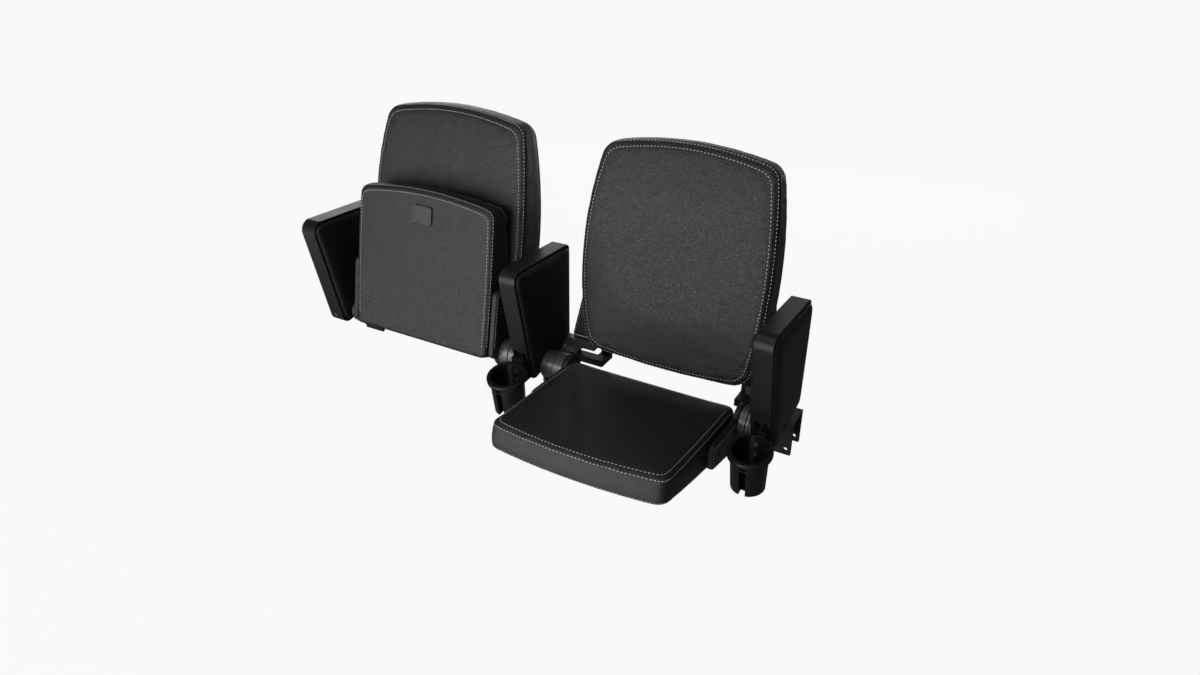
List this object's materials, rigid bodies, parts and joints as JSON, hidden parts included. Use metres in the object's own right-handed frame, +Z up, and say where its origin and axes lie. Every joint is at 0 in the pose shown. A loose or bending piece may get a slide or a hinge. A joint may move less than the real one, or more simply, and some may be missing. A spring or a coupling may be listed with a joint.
{
  "type": "stadium seat",
  "caption": "Beam-mounted stadium seat row with upholstered tip-up seats, bowed padded backs, padded arms with front cup holders and saddle feet.",
  "frame": {"origin": "centre of the middle saddle's face, where it rests on the row's beam", "axes": "+X along the row to the right of someone who faces the seats' fronts, -Y to the front, +Z up"},
  "size_m": [1.247, 0.5718, 0.6405],
  "materials": {
    "upholstery": "fine-grained charcoal hide",
    "arm_padding": "smooth near-black skin",
    "rim_plastic": "satin moulded black",
    "cup_plastic": "satin moulded black",
    "number_plate": "satin, blank",
    "frame_steel": "black powder coat",
    "hub_metal": "grey satin",
    "bright_steel": "plain",
    "bush_nylon": "plain nylon",
    "board": "plywood"
  },
  "bodies": {
    "frame": {"arm_standard_left": "frame_steel", "beam_saddle_left": "frame_steel", "arm_rim_left": "rim_plastic", "arm_pads_left": "arm_padding", "pivot_shaft_left": "bright_steel", "arm_standard_middle": "frame_steel", "beam_saddle_middle": "frame_steel", "arm_rim_middle": "rim_plastic", "arm_pads_middle": "arm_padding", "pivot_shaft_middle": "bright_steel", "arm_standard_right": "frame_steel", "beam_saddle_right": "frame_steel", "arm_rim_right": "rim_plastic", "arm_pads_right": "arm_padding", "pivot_shaft_right": "bright_steel", "cup_middle": "cup_plastic", "cup_bracket_middle": "cup_plastic", "cup_right": "cup_plastic", "cup_bracket_right": "cup_plastic", "rim_screws": "bright_steel", "cup_screws": "bright_steel", "shell_screws": "bright_steel", "back_cushion_left": "upholstery", "back_wings_left": "upholstery", "back_board_left": "board", "back_shell_left": "rim_plastic", "back_carrier_left_inner": "frame_steel", "back_carrier_left_outer": "frame_steel", "hub_collars_left": "hub_metal", "back_horns_left": "hub_metal", "back_cushion_right": "upholstery", "back_wings_right": "upholstery", "back_board_right": "board", "back_shell_right": "rim_plastic", "back_carrier_right_inner": "frame_steel", "back_carrier_right_outer": "frame_steel", "hub_collars_right": "hub_metal", "back_horns_right": "hub_metal"},
    "left_seat": {"seat_cushion_left": "upholstery", "seat_base_left": "upholstery", "hinge_cover_inner_left": "upholstery", "hinge_cover_outer_left": "upholstery", "seat_pan_left": "board", "number_plate_left": "number_plate", "hinge_plate_inner_left": "frame_steel", "hinge_plate_outer_left": "frame_steel", "hinge_bushes_left": "bush_nylon", "turn_rings_left": "hub_metal", "stop_pins_left": "bright_steel"},
    "right_seat": {"seat_cushion_right": "upholstery", "seat_base_right": "upholstery", "hinge_cover_inner_right": "upholstery", "hinge_cover_outer_right": "upholstery", "seat_pan_right": "board", "number_plate_right": "number_plate", "hinge_plate_inner_right": "frame_steel", "hinge_plate_outer_right": "frame_steel", "hinge_bushes_right": "bush_nylon", "turn_rings_right": "hub_metal", "stop_pins_right": "bright_steel"}
  },
  "joints": [
    {"name": "right_seat_tip", "type": "hinge", "parent": "frame", "child": "right_seat", "pos_m": [0.305, -0.103, 0.03], "axis": [-1, 0, 0], "range_deg": [0, 90]},
    {"name": "left_seat_tip", "type": "hinge", "parent": "frame", "child": "left_seat", "pos_m": [-0.305, -0.103, 0.03], "axis": [1, 0, 0], "range_deg": [0, 90]}
  ]
}
